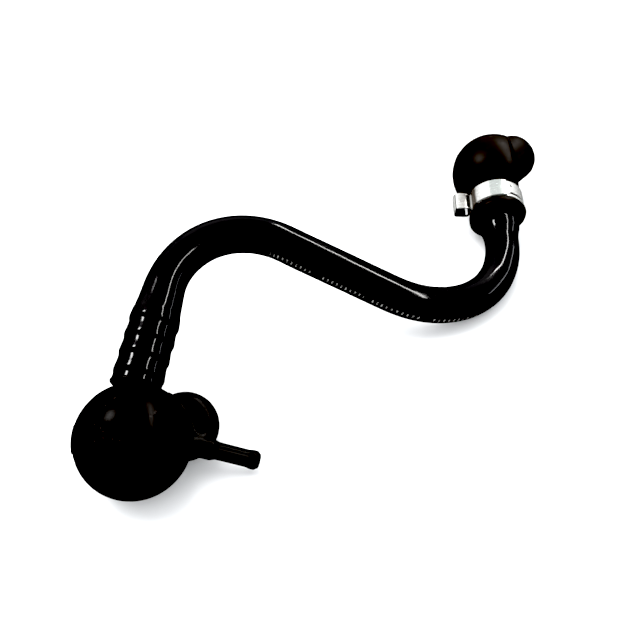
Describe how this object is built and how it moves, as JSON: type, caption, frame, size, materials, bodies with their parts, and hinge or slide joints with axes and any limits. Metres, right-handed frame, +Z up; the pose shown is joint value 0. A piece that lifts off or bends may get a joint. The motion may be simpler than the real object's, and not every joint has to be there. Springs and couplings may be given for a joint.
{
  "type": "crankcase breather pipe",
  "caption": "Bent crankcase ventilation pipe with a diaphragm pressure regulating valve at one end and a clamped rubber elbow at the other.",
  "frame": {"origin": "middle of the footprint, on the plane it rests on", "axes": "+X from the valve to the elbow, +Y to the rear, towards the elbow's outlet, +Z up from the plane it rests on"},
  "size_m": [0.1994, 0.2164, 0.0521],
  "materials": {
    "pipe_nylon": "gloss, extruded",
    "valve_plastic": "fine matt, moulded",
    "cover_plastic": "fine matt, moulded",
    "elbow_rubber": "matt, moulded",
    "diaphragm_rubber": "matt",
    "pad_rubber": "matt",
    "seal_rubber": "satin, brown fluoro-rubber",
    "clamp_steel": "rolled stainless strip",
    "plate_steel": "pressed sheet",
    "spring_steel": "drawn wire",
    "insert_plastic": "glass-filled, satin",
    "restrictor_brass": "turned",
    "vent_bronze": "sintered"
  },
  "bodies": {
    "breather_line": {"bent_pipe": "pipe_nylon", "valve_body": "valve_plastic", "valve_cover": "cover_plastic", "vent_plug": "vent_bronze", "diaphragm": "diaphragm_rubber", "regulator_spring": "spring_steel", "back_plate": "valve_plastic", "outlet_o_ring": "seal_rubber", "spigot_o_ring": "seal_rubber", "nipple_restrictor": "restrictor_brass", "pipe_insert": "insert_plastic", "rubber_elbow": "elbow_rubber", "ear_clamp": "clamp_steel"},
    "diaphragm_set": {"diaphragm_plate": "plate_steel", "lower_plate": "plate_steel", "seat_pad": "pad_rubber", "stem_push_nut": "plate_steel"}
  },
  "joints": [
    {"name": "diaphragm_travel", "type": "slide", "parent": "breather_line", "child": "diaphragm_set", "axis": [-0.2699, 0.4008, -0.8755], "range_m": [0, 0.0028], "stiffness_N_per_m": 150, "springref_m": -0.002, "deforming": ["regulator_spring"]}
  ]
}
